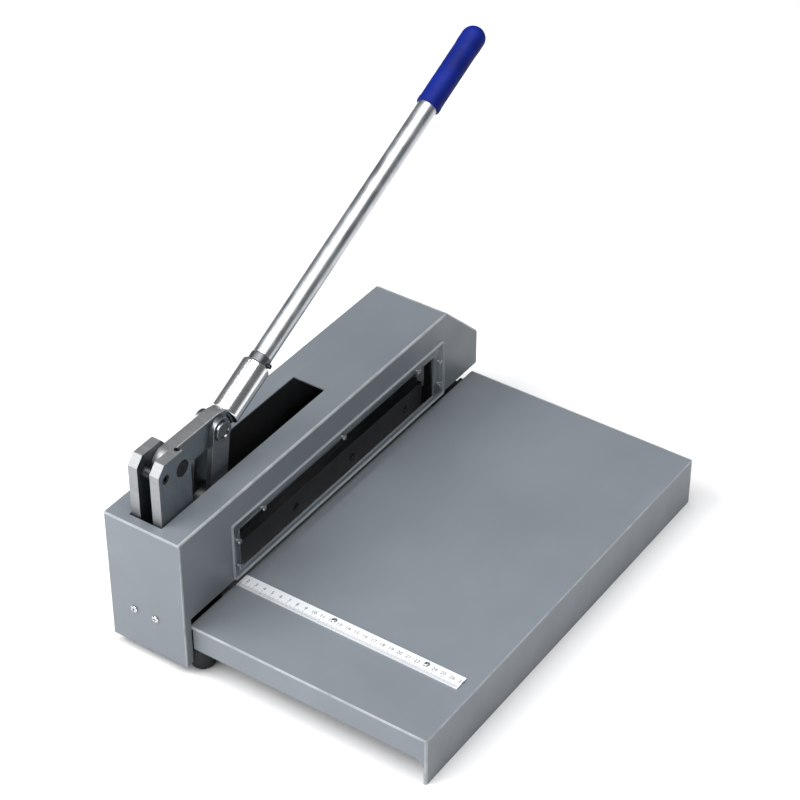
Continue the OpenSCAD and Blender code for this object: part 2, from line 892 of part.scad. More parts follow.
module scale_rule() {
    color(WHITE) placed() difference() {
        block([rule_start, rule_near, table_top],
              [rule_start + rule_length, rule_near + rule_width, table_top + rule_thickness]);
        for (x = rule_screw_x) {
            rod_z(M3[0] + 2 * screw_gap, table_top - 1, table_top + 3,
                  x, rule_screw_y);
        }
    }
}

module rule_screws() {
    length = rule_thickness + table_sheet;
    color(STEEL) placed() for (x = rule_screw_x) {
        translate([x, rule_screw_y, table_under]) pan_screw(M3, length);
    }
}

// ---- carrier pivot ----

// One bearing block between x0 and x1
module pivot_bracket(x0, x1) {
    middle = (x0 + x1) / 2;
    difference() {
        along_x(x0, x1) union() {
            translate([bracket_near, base_top])
                square([pivot_y + bracket_radius - bracket_near, 16]);
            translate([pivot_y - bracket_radius, base_top])
                square([2 * bracket_radius, pivot_z - base_top]);
            translate([pivot_y, pivot_z]) circle(r = bracket_radius);
        }
        rod_x(pivot_d + 2 * held_gap, x0 - 1, x1 + 1, pivot_y, pivot_z);
        for (y = bracket_screw_y) {
            rod_z(M6[0] + 2 * screw_gap, base_top - 1, base_top + 9, middle, y);
        }
    }
}

module pivot_bracket_left() {
    inner = lever_x - cheek_inner;
    color(BLACK) placed() pivot_bracket(inner - bracket_thickness, inner);
}

module pivot_bracket_right() {
    inner = lever_x + cheek_inner;
    color(BLACK) placed() pivot_bracket(inner, inner + bracket_thickness);
}

module pivot_pin() {
    outer = cheek_inner + bracket_thickness;
    color(STEEL) placed() difference() {
        rod_x(pivot_d, lever_x - outer - pin_tail, lever_x + outer + pin_tail, pivot_y, pivot_z);
        ring_groove_x(pivot_d, lever_x - outer - ring_thickness, pivot_y, pivot_z, ring_thickness);
        ring_groove_x(pivot_d, lever_x + outer, pivot_y, pivot_z, ring_thickness);
    }
}

module pivot_circlips() {
    outer = cheek_inner + bracket_thickness;
    color(BLACK) placed() {
        ring_x(pivot_d, lever_x - outer - ring_thickness, pivot_y, pivot_z, ring_thickness);
        ring_x(pivot_d, lever_x + outer, pivot_y, pivot_z, ring_thickness);
    }
}

housing_shell();
end_screws();
rear_screws();
window_guard();
guard_screws();
base_plate();
base_screws();
rubber_feet();
foot_screws();
cheek_left();
cheek_right();
cheek_spacer();
cheek_tie_bolt();
fulcrum_pin();
pin_lock_screw();
closing_buffer();
lever_arm();
handle_socket();
lock_collar();
set_screw();
handle_tube();
hand_grip();
link_left();
link_right();
link_pin();
drop_pin();
link_circlips();
blade_beam();
beam_web();
beam_screws();
end_block();
upper_blade();
upper_blade_bolts();
lower_blade();
lower_blade_screws();
bed_bar();
table_tray();
table_ledge();
table_ribs();
table_screws();
scale_rule();
rule_screws();
pivot_bracket_left();
pivot_bracket_right();
pivot_pin();
pivot_circlips();
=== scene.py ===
import json
import logging
import math
from dataclasses import dataclass
from enum import Enum
from typing import Callable, Iterable, Sequence

import bmesh
import bpy
from mathutils import Matrix, Vector


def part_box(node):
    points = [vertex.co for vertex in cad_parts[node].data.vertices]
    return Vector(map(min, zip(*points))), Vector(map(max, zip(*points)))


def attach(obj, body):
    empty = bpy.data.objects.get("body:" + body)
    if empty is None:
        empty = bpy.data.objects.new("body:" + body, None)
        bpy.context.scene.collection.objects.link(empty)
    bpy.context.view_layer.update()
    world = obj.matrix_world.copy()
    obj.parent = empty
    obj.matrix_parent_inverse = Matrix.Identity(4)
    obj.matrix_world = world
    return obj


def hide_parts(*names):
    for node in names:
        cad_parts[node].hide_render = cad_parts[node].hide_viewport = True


LOG = logging.getLogger("guillotine_shear")
MM = 0.001
Triple = tuple[float, float, float]
Colour = Triple
Profile = Sequence[tuple[float, float]]

# How a CAD shape is read: lengths in metres, angles in degrees.
MERGE_DISTANCE = 0.004 * MM
FLAT_ANGLE = 0.6
FOLD_ANGLE = 20.0
BREAK_ANGLE = 40.0
OUTLINE_ANGLE = 60.0
SAME_PLANE = 0.02 * MM

# Cosines between a face's normal and a direction.
SAME_DIRECTION = 0.99
PLATE_FACE = 0.9

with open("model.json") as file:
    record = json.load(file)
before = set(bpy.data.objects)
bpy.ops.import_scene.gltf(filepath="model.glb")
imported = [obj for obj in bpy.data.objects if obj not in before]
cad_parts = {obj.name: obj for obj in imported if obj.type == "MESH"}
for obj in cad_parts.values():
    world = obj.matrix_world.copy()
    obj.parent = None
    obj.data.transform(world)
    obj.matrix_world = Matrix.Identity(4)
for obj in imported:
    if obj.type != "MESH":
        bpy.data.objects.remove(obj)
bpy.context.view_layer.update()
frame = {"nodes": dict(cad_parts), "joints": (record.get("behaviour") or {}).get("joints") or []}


class Body(Enum):
    """The rigid bodies of the machine."""

    FRAME = "frame"
    LEVER = "lever"
    LINKS = "links"
    CARRIER = "blade_carrier"


# ---- finishes ----


class Graph:
    """The node tree of one material, with short ways to add and join nodes."""

    def __init__(self, name: str) -> None:
        """Starts a material that holds only a shader and its output.

        Args:
            name: the material's name.
        """
        self.material = bpy.data.materials.new(name)
        self.material.use_nodes = True
        self.tree = self.material.node_tree
        self.shader = self.tree.nodes["Principled BSDF"]
        self.place = self.tree.nodes.new("ShaderNodeTexCoord").outputs["Object"]

    def set(self, **values: object) -> None:
        """Sets constants on the shader's own sockets.

        Args:
            values: socket names, with _ for a space, and their values.
        """
        for name, value in values.items():
            self.shader.inputs[name.replace("_", " ")].default_value = value

    def drive(self, socket: str, source: bpy.types.NodeSocket) -> None:
        """Joins a node's output to one of the shader's sockets.

        Args:
            socket: the name of the shader's socket.
            source: the output that feeds it.
        """
        self.tree.links.new(source, self.shader.inputs[socket])

    def stretched(self, stretch: Triple) -> bpy.types.NodeSocket:
        """Multiplies the object coordinates along each axis.

        Args:
            stretch: factors along X, Y and Z.

        Returns:
            The multiplied coordinates.
        """
        mapping = self.tree.nodes.new("ShaderNodeMapping")
        mapping.inputs["Scale"].default_value = stretch
        self.tree.links.new(self.place, mapping.inputs["Vector"])
        return mapping.outputs["Vector"]

    def noise(
        self, scale: float, detail: float = 2.0, stretch: Triple = (1.0, 1.0, 1.0)
    ) -> bpy.types.NodeSocket:
        """Adds a noise pattern.

        Args:
            scale: how many features there are in a metre.
            detail: how many finer layers are added.
            stretch: factors along X, Y and Z, for brushed or drawn patterns.

        Returns:
            The pattern's value, from 0 to 1.
        """
        node = self.tree.nodes.new("ShaderNodeTexNoise")
        node.inputs["Scale"].default_value = scale
        node.inputs["Detail"].default_value = detail
        self.tree.links.new(self.stretched(stretch), node.inputs["Vector"])
        return node.outputs["Fac"]

    def cells(self, scale: float) -> bpy.types.NodeSocket:
        """Adds a pattern of cells, each with a random tone.

        Args:
            scale: how many cells there are in a metre.

        Returns:
            The cells' colour.
        """
        node = self.tree.nodes.new("ShaderNodeTexVoronoi")
        node.inputs["Scale"].default_value = scale
        self.tree.links.new(self.place, node.inputs["Vector"])
        return node.outputs["Color"]

    def spread(
        self, source: bpy.types.NodeSocket, low: float, high: float,
        bottom: float = 0.0, top: float = 1.0,
    ) -> bpy.types.NodeSocket:
        """Maps one range of a pattern onto another, clamped.

        Args:
            source: the pattern.
            low: the value where the result is bottom.
            high: the value where the result is top.
            bottom: the result at low.
            top: the result at high.

        Returns:
            The mapped value.
        """
        node = self.tree.nodes.new("ShaderNodeMapRange")
        names = ("From Min", "From Max", "To Min", "To Max")
        for name, value in zip(names, (low, high, bottom, top)):
            node.inputs[name].default_value = value
        self.tree.links.new(source, node.inputs["Value"])
        return node.outputs["Result"]

    def product(
        self, first: bpy.types.NodeSocket, second: bpy.types.NodeSocket
    ) -> bpy.types.NodeSocket:
        """Multiplies two values.

        Args:
            first: one value.
            second: the other.

        Returns:
            Their product.
        """
        node = self.tree.nodes.new("ShaderNodeMath")
        node.operation = "MULTIPLY"
        self.tree.links.new(first, node.inputs[0])
        self.tree.links.new(second, node.inputs[1])
        return node.outputs["Value"]

    def blend(
        self, factor: bpy.types.NodeSocket,
        first: Colour | bpy.types.NodeSocket, second: Colour | bpy.types.NodeSocket,
    ) -> bpy.types.NodeSocket:
        """Mixes two colours by a pattern.

        Args:
            factor: 0 gives the first colour, 1 the second.
            first: a colour or a node's output.
            second: a colour or a node's output.

        Returns:
            The mixed colour.
        """
        node = self.tree.nodes.new("ShaderNodeMix")
        node.data_type = "RGBA"
        self.tree.links.new(factor, node.inputs["Factor"])
        for socket, colour in (("A", first), ("B", second)):
            target = [i for i in node.inputs if i.name == socket and i.type == "RGBA"][0]
            if isinstance(colour, tuple):
                target.default_value = (*colour, 1.0)
            else:
                self.tree.links.new(colour, target)
        return [o for o in node.outputs if o.type == "RGBA"][0]

    def edge(self) -> bpy.types.NodeSocket:
        """Reads the mark on the broken edges of a piece.

        Returns:
            1 on broken edges and 0 elsewhere.
        """
        node = self.tree.nodes.new("ShaderNodeAttribute")
        node.attribute_name = "edge"
        return node.outputs["Fac"]

    def bump(self, *layers: tuple[bpy.types.NodeSocket, float, float]) -> None:
        """Adds relief to the shader's normal.

        Args:
            layers: for each, a height pattern, its strength and its depth in metres.
        """
        below = None
        for height, strength, depth in layers:
            node = self.tree.nodes.new("ShaderNodeBump")
            node.inputs["Strength"].default_value = strength
            node.inputs["Distance"].default_value = depth
            self.tree.links.new(height, node.inputs["Height"])
            if below is not None:
                self.tree.links.new(below, node.inputs["Normal"])
            below = node.outputs["Normal"]
        self.drive("Normal", below)


def tint(colour: Colour, factor: float) -> Colour:
    """Makes a colour lighter or darker.

    Args:
        colour: the colour.
        factor: above 1 for lighter, below 1 for darker.

    Returns:
        The new colour, with no part above 1.
    """
    red, green, blue = (min(1.0, part * factor) for part in colour)
    return (red, green, blue)


@dataclass(frozen=True)
class Finish:
    """A surface finish: the record's slot, its colour and how it shines."""

    name: str
    slot: str
    colour: Colour
    roughness: float = 0.4

    def build(self) -> bpy.types.Material:
        """Makes the material the first time, and returns it.

        The frame has materials named after its slots, so a finish has a suffix of its own.

        Returns:
            The material.
        """
        name = f"{self.name}_finish"
        known = bpy.data.materials.get(name)
        if known is not None:
            return known
        graph = Graph(name)
        graph.set(Base_Color=(*self.colour, 1.0), Roughness=self.roughness)
        self.dress(graph)
        return graph.material

    def dress(self, graph: Graph) -> None:
        """Adds the detail that makes the finish more than one flat colour.

        Args:
            graph: the node tree of the material.
        """


@dataclass(frozen=True)
class Enamel(Finish):
    """Sprayed and baked enamel on sheet or bar."""

    peel: float = 0.10
    worn: Colour = (0.62, 0.65, 0.68)
    wear: float = 0.75

    def dress(self, graph: Graph) -> None:
        """Adds a soft mottle, orange peel, faint rubs and thin edges.

        Args:
            graph: the node tree of the material.
        """
        tone = graph.spread(graph.noise(7.0, 3.0), 0.3, 0.7)
        coat = graph.blend(tone, tint(self.colour, 0.93), tint(self.colour, 1.06))
        rub = graph.spread(graph.noise(26.0, 6.0, (1.0, 0.12, 1.0)), 0.63, 0.72, 0.0, 0.16)
        rubbed = graph.blend(rub, coat, tint(self.colour, 1.5))
        grain = graph.spread(graph.noise(60.0, 3.0), 0.25, 0.6, 0.35, 1.0)
        thin = graph.product(graph.spread(graph.edge(), 0.0, 1.0, 0.0, self.wear), grain)
        graph.drive("Base Color", graph.blend(thin, rubbed, self.worn))
        gloss = graph.spread(
            graph.noise(35.0, 4.0), 0.3, 0.7, self.roughness - 0.05, self.roughness + 0.07)
        graph.drive("Roughness", gloss)
        graph.set(Coat_Weight=0.08, Coat_Roughness=0.28)
        graph.bump((graph.noise(750.0, 1.0), self.peel, 0.2 * MM),
                   (graph.noise(90.0, 2.0), 0.05, 0.4 * MM))


@dataclass(frozen=True)
class Steel(Finish):
    """Bare steel, ground or rolled along one axis."""

    grain: Triple = (1.0, 0.03, 1.0)
    grain_scale: float = 1400.0
    stain: float = 0.35
    relief: float = 0.12
    shine: Colour = (0.5, 0.51, 0.53)

    def dress(self, graph: Graph) -> None:
        """Adds grinding lines, oil stains and bright rubbed edges.

        Args:
            graph: the node tree of the material.
        """
        lines = graph.noise(self.grain_scale, 3.0, self.grain)
        bright = graph.blend(
            graph.spread(lines, 0.3, 0.7), tint(self.colour, 0.82), tint(self.colour, 1.15))
        oil = graph.spread(graph.noise(22.0, 5.0), 0.48, 0.75, 0.0, self.stain)
        stained = graph.blend(oil, bright, tint(self.colour, 0.5))
        rubbed = graph.product(graph.edge(), graph.spread(graph.noise(80.0, 3.0), 0.2, 0.55))
        graph.drive("Base Color", graph.blend(rubbed, stained, self.shine))
        gloss = graph.spread(lines, 0.25, 0.75, self.roughness - 0.06, self.roughness + 0.1)
        graph.drive("Roughness", gloss)
        graph.set(Metallic=1.0)
        graph.bump((lines, self.relief, 0.05 * MM))


@dataclass(frozen=True)
class Plating(Finish):
    """Bright plating on turned steel."""

    def dress(self, graph: Graph) -> None:
        """Adds a faint haze over the plating.

        Args:
            graph: the node tree of the material.
        """
        haze = graph.noise(40.0, 1.0)
        graph.drive("Base Color", graph.blend(
            graph.spread(haze, 0.35, 0.7), tint(self.colour, 0.92), tint(self.colour, 1.04)))
        graph.drive("Roughness", graph.spread(
            haze, 0.35, 0.75, self.roughness, self.roughness + 0.02))
        graph.set(Metallic=1.0)


@dataclass(frozen=True)
class Galvanised(Finish):
    """Zinc-coated pipe, with its faint crystal pattern and drawn lines."""

    def dress(self, graph: Graph) -> None:
        """Adds zinc crystals, drawn lines and dull patches.

        Args:
            graph: the node tree of the material.
        """
        crystal = graph.spread(graph.cells(130.0), 0.2, 0.8)
        zinc = graph.blend(crystal, tint(self.colour, 0.94), tint(self.colour, 1.05))
        dull = graph.spread(graph.noise(28.0, 5.0), 0.5, 0.75, 0.0, 0.35)
        graph.drive("Base Color", graph.blend(dull, zinc, tint(self.colour, 0.72)))
        graph.drive("Roughness", graph.spread(
            graph.noise(60.0, 4.0), 0.3, 0.7, self.roughness - 0.06, self.roughness + 0.08))
        graph.set(Metallic=1.0)
        graph.bump((graph.noise(420.0, 3.0), 0.08, 0.08 * MM))


@dataclass(frozen=True)
class Vinyl(Finish):
    """Dipped vinyl, as on a hand grip."""

    def dress(self, graph: Graph) -> None:
        """Adds soft mottling, fine pits and a thin skin.

        Args:
            graph: the node tree of the material.
        """
        tone = graph.spread(graph.noise(40.0, 3.0), 0.35, 0.7)
        graph.drive("Base Color", graph.blend(
            tone, tint(self.colour, 0.8), tint(self.colour, 1.25)))
        graph.drive("Roughness", graph.spread(
            graph.noise(140.0, 3.0), 0.3, 0.7, self.roughness - 0.04, self.roughness + 0.1))
        graph.set(Coat_Weight=0.02, Coat_Roughness=0.35, Specular_IOR_Level=0.12)
        graph.bump((graph.noise(1100.0, 2.0), 0.06, 0.1 * MM),
                   (graph.noise(60.0, 2.0), 0.15, 0.3 * MM))


@dataclass(frozen=True)
class Acrylic(Finish):
    """Clear acrylic sheet, whose cut edges catch the light."""

    body: float = 0.10
    rim: float = 0.42

    def dress(self, graph: Graph) -> None:
        """Makes the faces clear and the cut edges milky.

        Args:
            graph: the node tree of the material.
        """
        graph.drive("Alpha", graph.spread(graph.edge(), 0.0, 1.0, self.body, self.rim))
        smear = graph.noise(30.0, 5.0, (1.0, 0.4, 1.0))
        graph.drive("Roughness", graph.spread(
            smear, 0.35, 0.7, self.roughness, self.roughness + 0.12))
        graph.set(Coat_Weight=0.1, Coat_Roughness=0.03)


@dataclass(frozen=True)
class Rubber(Finish):
    """Moulded black rubber."""

    def dress(self, graph: Graph) -> None:
        """Adds dust, bloom and a fine moulded grain.

        Args:
            graph: the node tree of the material.
        """
        dust = graph.spread(graph.noise(70.0, 5.0), 0.45, 0.8, 0.0, 0.4)
        graph.drive("Base Color", graph.blend(dust, self.colour, tint(self.colour, 3.2)))
        graph.bump((graph.noise(900.0, 3.0), 0.25, 0.15 * MM))


@dataclass(frozen=True)
class Ink(Finish):
    """Printed marks."""

    def dress(self, graph: Graph) -> None:
        """Adds slightly uneven print.

        Args:
            graph: the node tree of the material.
        """
        patchy = graph.spread(graph.noise(500.0, 3.0), 0.3, 0.8)
        graph.drive("Base Color", graph.blend(patchy, self.colour, tint(self.colour, 2.5)))


PAINT = Enamel(
    "grey_enamel", "painted_sheet", (0.163, 0.183, 0.205), 0.40, worn=(0.42, 0.44, 0.46))
# Painted shade: near-black enamel on the inner faces of the cover, standing in for the shade
# inside it.
INSIDE_SHADE = Enamel(
    "inside_painted_shade", "painted_sheet", (0.010, 0.011, 0.012), 0.60, worn=(0.03, 0.031, 0.033))
BLACK_PAINT = Enamel(
    "black_enamel", "black_steel", (0.009, 0.010, 0.0115), 0.46, worn=(0.06, 0.062, 0.066))
DARK_PLATE = Steel(
    "oiled_plate", "dark_steel", (0.195, 0.222, 0.245), 0.42,
    grain=(1.0, 1.0, 0.05), relief=0.05, shine=(0.66, 0.67, 0.69))
MILLED = Steel(
    "milled_edge", "dark_steel", (0.33, 0.335, 0.345), 0.50,
    grain=(0.06, 1.0, 1.0), stain=0.16, relief=0.04, shine=(0.50, 0.50, 0.51))
LINK_STEEL = Steel(
    "link_steel", "ground_steel", (0.20, 0.212, 0.228), 0.38, relief=0.05,
    shine=(0.62, 0.63, 0.65))
BLADE = Steel(
    "blade_steel", "blade_steel", (0.105, 0.103, 0.108), 0.38, relief=0.06,
    shine=(0.30, 0.30, 0.31))
GROUND = Steel("ground_steel", "ground_steel", (0.42, 0.43, 0.45), 0.34, stain=0.2)
BRIGHT = Steel("bright_block", "ground_steel", (0.88, 0.88, 0.89), 0.36, stain=0.08)
CHROME = Plating("bright_plating", "chrome", (0.92, 0.92, 0.93), 0.22)
PIN_HEAD = Plating("pin_head_plating", "chrome", (0.20, 0.20, 0.205), 0.22)
BLACKENED = Steel(
    "blackened_screws", "black_screw", (0.035, 0.036, 0.040), 0.4,
    grain=(1.0, 1.0, 1.0), grain_scale=500.0, shine=(0.25, 0.25, 0.26))
COLLAR = Steel(
    "collar_steel", "black_screw", (0.16, 0.165, 0.175), 0.38,
    grain=(1.0, 1.0, 1.0), grain_scale=700.0, shine=(0.5, 0.5, 0.52))
ZINC_SCREW = Plating("zinc_screws", "plated_screw", (0.60, 0.61, 0.62), 0.26)
PIPE = Galvanised("galvanised_pipe", "zinc_tube", (0.56, 0.58, 0.60), 0.36)
GRIP = Vinyl("blue_vinyl", "blue_grip", (0.003, 0.011, 0.155), 0.55)
CLEAR = Acrylic("clear_acrylic", "clear_guard", (0.62, 0.68, 0.71), 0.04, body=0.005)
RULE_FACE = Enamel(
    "rule_enamel", "white_rule", (0.70, 0.72, 0.75), 0.3, peel=0.03, worn=(0.8, 0.82, 0.85))
RULE_INK = Ink("rule_ink", "white_rule", (0.02, 0.02, 0.022), 0.5)
FOOT_RUBBER = Rubber("black_rubber", "black_rubber", (0.006, 0.0065, 0.0075), 0.8)


# ---- making pieces ----


def publish(
    name: str, shape: bmesh.types.BMesh, body: Body, finish: Finish,
    nodes: Iterable[str] = (), sharp: float = 35.0, second: Finish | None = None,
) -> bpy.types.Object:
    """Turns a shape into a finished piece of the machine.

    Args:
        name: the piece's name.
        shape: the shape, in metres, where it belongs; it is freed.
        body: the body that the piece rides on.
        finish: its surface finish.
        nodes: the CAD nodes that it stands for.
        sharp: the angle in degrees above which an edge stays sharp.
        second: the finish of the faces whose material index is 1.

    Returns:
        The piece's object.
    """
    mesh = bpy.data.meshes.new(name)
    shape.to_mesh(mesh)
    shape.free()
    mesh.shade_smooth()
    mesh.set_sharp_from_angle(angle=math.radians(sharp))
    mesh.materials.append(finish.build())
    if second is not None:
        mesh.materials.append(second.build())
    piece = bpy.data.objects.new(name, mesh)
    bpy.context.scene.collection.objects.link(piece)
    normals = piece.modifiers.new("even_normals", "WEIGHTED_NORMAL")
    normals.keep_sharp = True
    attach(piece, body.value)
    if nodes:
        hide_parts(*nodes)
    LOG.info("%s: %d faces on %s", name, len(mesh.polygons), body.value)
    return piece


def merged_copy(node: str) -> bmesh.types.BMesh:
    """Copies a CAD node's mesh with its triangles joined into whole flat faces.

    Args:
        node: the CAD node.

    Returns:
        The copy, for the caller to free.
    """
    shape = bmesh.new()
    shape.from_mesh(frame["nodes"][node].data)
    bmesh.ops.remove_doubles(shape, verts=shape.verts, dist=MERGE_DISTANCE)
    bmesh.ops.dissolve_limit(
        shape, angle_limit=math.radians(FLAT_ANGLE), verts=shape.verts, edges=shape.edges)
    return shape


def crease(edge: bmesh.types.BMEdge, angle: float) -> bool:
    """Says whether an edge joins two faces that meet at more than an angle.

    Args:
        edge: the edge.
        angle: the angle in degrees.

    Returns:
        True for a crease.
    """
    return len(edge.link_faces) == 2 and edge.calc_face_angle(0.0) > math.radians(angle)


def mark_edges(shape: bmesh.types.BMesh, faces: Iterable[bmesh.types.BMFace]) -> None:
    """Sets the edge mark to 1 on some faces; a new mark is 0 on all the others.

    Args:
        shape: the shape that carries the mark.
        faces: the faces to mark.
    """
    layer = shape.loops.layers.float.get("edge") or shape.loops.layers.float.new("edge")
    for face in faces:
        for loop in face.loops:
            loop[layer] = 1.0


def break_edges(
    shape: bmesh.types.BMesh, edges: Iterable[bmesh.types.BMEdge], width: float, segments: int
) -> None:
    """Rounds or chamfers some edges of a shape.

    Args:
        shape: the shape to change.
        edges: the edges to break.
        width: how far the break reaches from each edge, in metres.
        segments: 1 for a chamfer, more for a rounding.
    """
    made = bmesh.ops.bevel(
        shape, geom=list(edges), offset=width, offset_type="OFFSET", affect="EDGES",
        segments=segments, profile=0.5, material=-1, clamp_overlap=True, loop_slide=True)
    mark_edges(shape, made["faces"])


def outer_folds(
    shape: bmesh.types.BMesh, open_sides: Sequence[Vector]
) -> list[bmesh.types.BMEdge]:
    """Finds the folds of a sheet piece: creases between two of its outermost faces.

    Args:
        shape: a sheet-metal shape.
        open_sides: directions in which the sheet ends in a bare rim.

    Returns:
        The fold edges.
    """
    spots = [vert.co for vert in shape.verts]

    def outermost(face: bmesh.types.BMFace) -> bool:
        """Says whether a face lies on the outside of the whole shape.

        Args:
            face: the face.

        Returns:
            True on the outside, except on a bare rim.
        """
        normal = face.normal
        if any(normal.dot(side) > SAME_DIRECTION for side in open_sides):
            return False
        reach = max(normal.dot(spot) for spot in spots)
        return reach - normal.dot(face.verts[0].co) < SAME_PLANE

    outside = {face for face in shape.faces if outermost(face)}
    return [
        edge for edge in shape.edges
        if crease(edge, FOLD_ANGLE) and all(face in outside for face in edge.link_faces)
    ]


def depth_behind(shape: bmesh.types.BMesh, face: bmesh.types.BMFace) -> float:
    """Measures how thick the shape is behind a face, out to its furthest point.

    Args:
        shape: the shape.
        face: one of its faces.

    Returns:
        The distance in metres.
    """
    back = -face.normal
    return max(back.dot(vert.co) for vert in shape.verts) - back.dot(face.verts[0].co)


@dataclass(frozen=True)
class Softening:
    """How the edges of a CAD shape are finished."""

    edge: float = 0.3 * MM
    segments: int = 2
    fold: float = 0.0
    fold_segments: int = 4
    open_sides: tuple[Vector, ...] = ()

    def copy(self, node: str) -> bmesh.types.BMesh:
        """Copies a node's shape, with its folds rounded and its edges broken.

        Args:
            node: the CAD node.

        Returns:
            The softened shape.
        """
        shape = merged_copy(node)
        mark_edges(shape, ())
        if self.fold:
            break_edges(
                shape, outer_folds(shape, self.open_sides), self.fold, self.fold_segments)
        sharp = [edge for edge in shape.edges if crease(edge, BREAK_ANGLE)]
        break_edges(shape, sharp, self.edge, self.segments)
        return shape


def arc(
    centre: tuple[float, float], radius: float, start: float, end: float, steps: int = 8
) -> list[tuple[float, float]]:
    """Returns points along an arc of a profile.

    Args:
        centre: the arc's centre, as (distance from the axis, height).
        radius: its radius.
        start: its first angle in degrees, from straight outwards.
        end: its last angle in degrees.
        steps: how many stretches it is made of.

    Returns:
        The points, ends included.
    """
    angles = [math.radians(start + (end - start) * i / steps) for i in range(steps + 1)]
    return [
        (centre[0] + radius * math.cos(a), centre[1] + radius * math.sin(a)) for a in angles
    ]


def turned(profile: Profile, place: Matrix, steps: int = 96) -> bmesh.types.BMesh:
    """Turns a closed profile round the local Z axis, as on a lathe.

    Args:
        profile: (radius, height) points in metres; the last joins the first.
        place: where the local axes go.
        steps: how many stretches the circle is made of.

    Returns:
        The closed shape, with its normals outwards.
    """
    shape = bmesh.new()
    verts = [shape.verts.new((radius, 0.0, height)) for radius, height in profile]
    pairs = zip(verts, verts[1:] + verts[:1])
    edges = [
        shape.edges.new(pair) for pair in pairs
        if max(abs(pair[0].co.x), abs(pair[1].co.x)) > 1e-9
    ]
    bmesh.ops.spin(
        shape, geom=verts + edges, cent=(0, 0, 0), axis=(0, 0, 1), angle=2 * math.pi,
        steps=steps, use_merge=True)
    bmesh.ops.remove_doubles(shape, verts=shape.verts, dist=1e-6)
    bmesh.ops.recalc_face_normals(shape, faces=shape.faces)
    mark_edges(shape, ())
    bmesh.ops.transform(shape, matrix=place, verts=shape.verts)
    return shape


def along_x(node: str) -> Matrix:
    """Finds the place of a pin that lies along X.

    Args:
        node: the pin's CAD node.

    Returns:
        A place whose Z axis runs along +X through the middle of the node's box.
    """
    low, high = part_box(node)
    middle = (low + high) / 2
    return Matrix.Translation((low.x, middle.y, middle.z)) @ Matrix.Rotation(
        math.radians(90), 4, "Y")


def plain_pin(node: str, rim: float) -> bmesh.types.BMesh:
    """Makes a plain pin along X with a chamfer at each end.

    Args:
        node: the CAD node that gives its diameter and its length.
        rim: the chamfer, in metres.

    Returns:
        The pin's shape.
    """
    low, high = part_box(node)
    radius = (high.z - low.z) / 2
    length = high.x - low.x
    profile = [
        (0.0, 0.0), (radius - rim, 0.0), (radius, rim), (radius, length - rim),
        (radius - rim, length), (0.0, length)
    ]
    return turned(profile, along_x(node))


def is_cut_face(face: bmesh.types.BMFace) -> bool:
    """Says whether a face is a cut side of an upright plate that faces along X.

    Args:
        face: a face of the plate.

    Returns:
        True on a cut side, False on the plate's two large faces.
    """
    return abs(face.normal.x) < PLATE_FACE


def finish_nodes(
    nodes: Iterable[str], body: Body, finish: Finish, soft: Softening,
    edges: Finish | None = None,
) -> None:
    """Publishes a softened copy of each node under its own piece name.

    Args:
        nodes: the CAD nodes.
        body: the body that they ride on.
        finish: the finish of each piece.
        soft: how their edges are finished.
        edges: the finish of the cut faces of an upright plate, if it differs.
    """
    for node in nodes:
        shape = soft.copy(node)
        if edges is not None:
            for face in shape.faces:
                face.material_index = int(is_cut_face(face))
        publish(f"{node}_piece", shape, body, finish, [node], second=edges)


# ---- sub-assemblies ----


@dataclass
class Housing:
    """The folded steel cover with its blade window, clear guard and screws."""

    sheet: float = 2.0 * MM
    fold: float = 2.0 * MM
    edge: float = 0.3 * MM
    guard_edge: float = 0.5 * MM
    sheet_slack: float = 0.2 * MM

    def shell(self) -> None:
        """Makes the folded cover, with painted shade: near-black on the inside of its sheet."""
        open_sides = (Vector((0, 0, -1)), Vector((0, 1, 0)))
        shape = Softening(self.edge, 1, self.fold, 4, open_sides).copy("housing_shell")
        # Faces one sheet thick from the outside are the cover's inner faces; they take the
        # near-black painted shade.
        for face in shape.faces:
            if abs(depth_behind(shape, face) - self.sheet) < self.sheet_slack:
                face.material_index = 1
        publish("housing_cover", shape, Body.FRAME, PAINT, ["housing_shell"], second=INSIDE_SHADE)

    def guard(self) -> None:
        """Makes the clear guard, whose rim is marked so that it catches the light."""
        shape = merged_copy("window_guard")
        mark_edges(shape, ())
        outline = [edge for edge in shape.edges if crease(edge, OUTLINE_ANGLE)]
        break_edges(shape, outline, self.guard_edge, 2)
        layer = shape.loops.layers.float["edge"]
        for face in shape.faces:
            for loop in face.loops:
                loop[layer] = float(is_cut_face(face))
        publish("guard_plate", shape, Body.FRAME, CLEAR, ["window_guard"])

    def screws(self) -> None:
        """Makes the cover's and the guard's screws."""
        finish_nodes(("end_screws", "rear_screws", "guard_screws"), Body.FRAME, ZINC_SCREW,
                     Softening(0.12 * MM, 2))

    def build(self) -> None:
        """Makes the whole housing."""
        self.shell()
        self.guard()
        self.screws()


